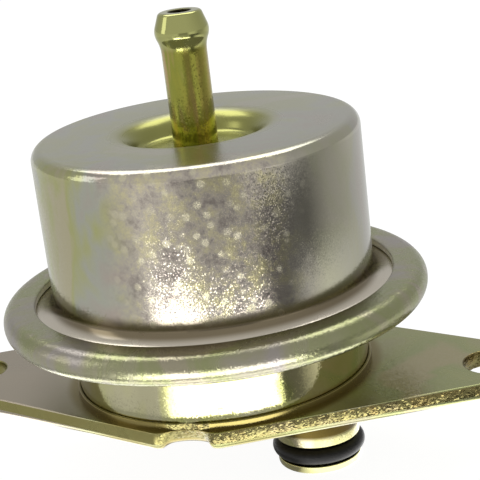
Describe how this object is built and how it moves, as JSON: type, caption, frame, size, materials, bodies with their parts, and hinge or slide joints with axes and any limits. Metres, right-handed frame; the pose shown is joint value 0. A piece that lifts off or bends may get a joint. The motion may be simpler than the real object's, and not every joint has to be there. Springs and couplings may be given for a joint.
{
  "type": "fuel pressure regulator",
  "caption": "Vacuum-referenced fuel pressure regulator: crimped round body with spring cover and hose nipple on a rhombic bolt flange, with an off-centre O-ring inlet spigot below.",
  "frame": {"origin": "middle between the two bolt holes, on the body axis, at the flange's underside", "axes": "+Z along the body axis towards the hose nipple, X through the two bolt holes with the inlet spigot on +X, -Y towards the flange's notch"},
  "size_m": [0.0754, 0.05, 0.0549],
  "materials": {
    "flange_steel": "zinc plated, yellow passivated, sheared edges",
    "housing_steel": "zinc plated, yellow passivated, bright drawn",
    "cover_steel": "zinc plated, pale yellow passivated, bright drawn",
    "nipple_steel": "turned, zinc plated, yellow passivated",
    "plain_steel": "plain machined or stamped",
    "spring_steel": "drawn wire",
    "rubber": "matte black",
    "diaphragm_rubber": "fabric-reinforced, matte"
  },
  "bodies": {
    "casing": {"mounting_flange": "flange_steel", "lower_housing": "housing_steel", "spring_cover": "cover_steel", "vacuum_nipple": "nipple_steel", "inlet_spigot": "nipple_steel", "spigot_o_ring": "rubber", "valve_seat": "plain_steel", "main_spring": "spring_steel"},
    "valve_carrier": {"diaphragm": "diaphragm_rubber", "spring_seat": "plain_steel", "diaphragm_washer": "plain_steel", "valve_holder": "plain_steel", "valve_ball": "plain_steel", "ball_spring": "spring_steel", "ball_retainer": "plain_steel"}
  },
  "joints": [
    {"name": "valve_lift", "type": "slide", "parent": "casing", "child": "valve_carrier", "axis": [0, 0, 1], "range_m": [0, 0.0008], "stiffness_N_per_m": 12000, "springref_m": -0.01, "deforming": ["main_spring", "diaphragm"]}
  ]
}
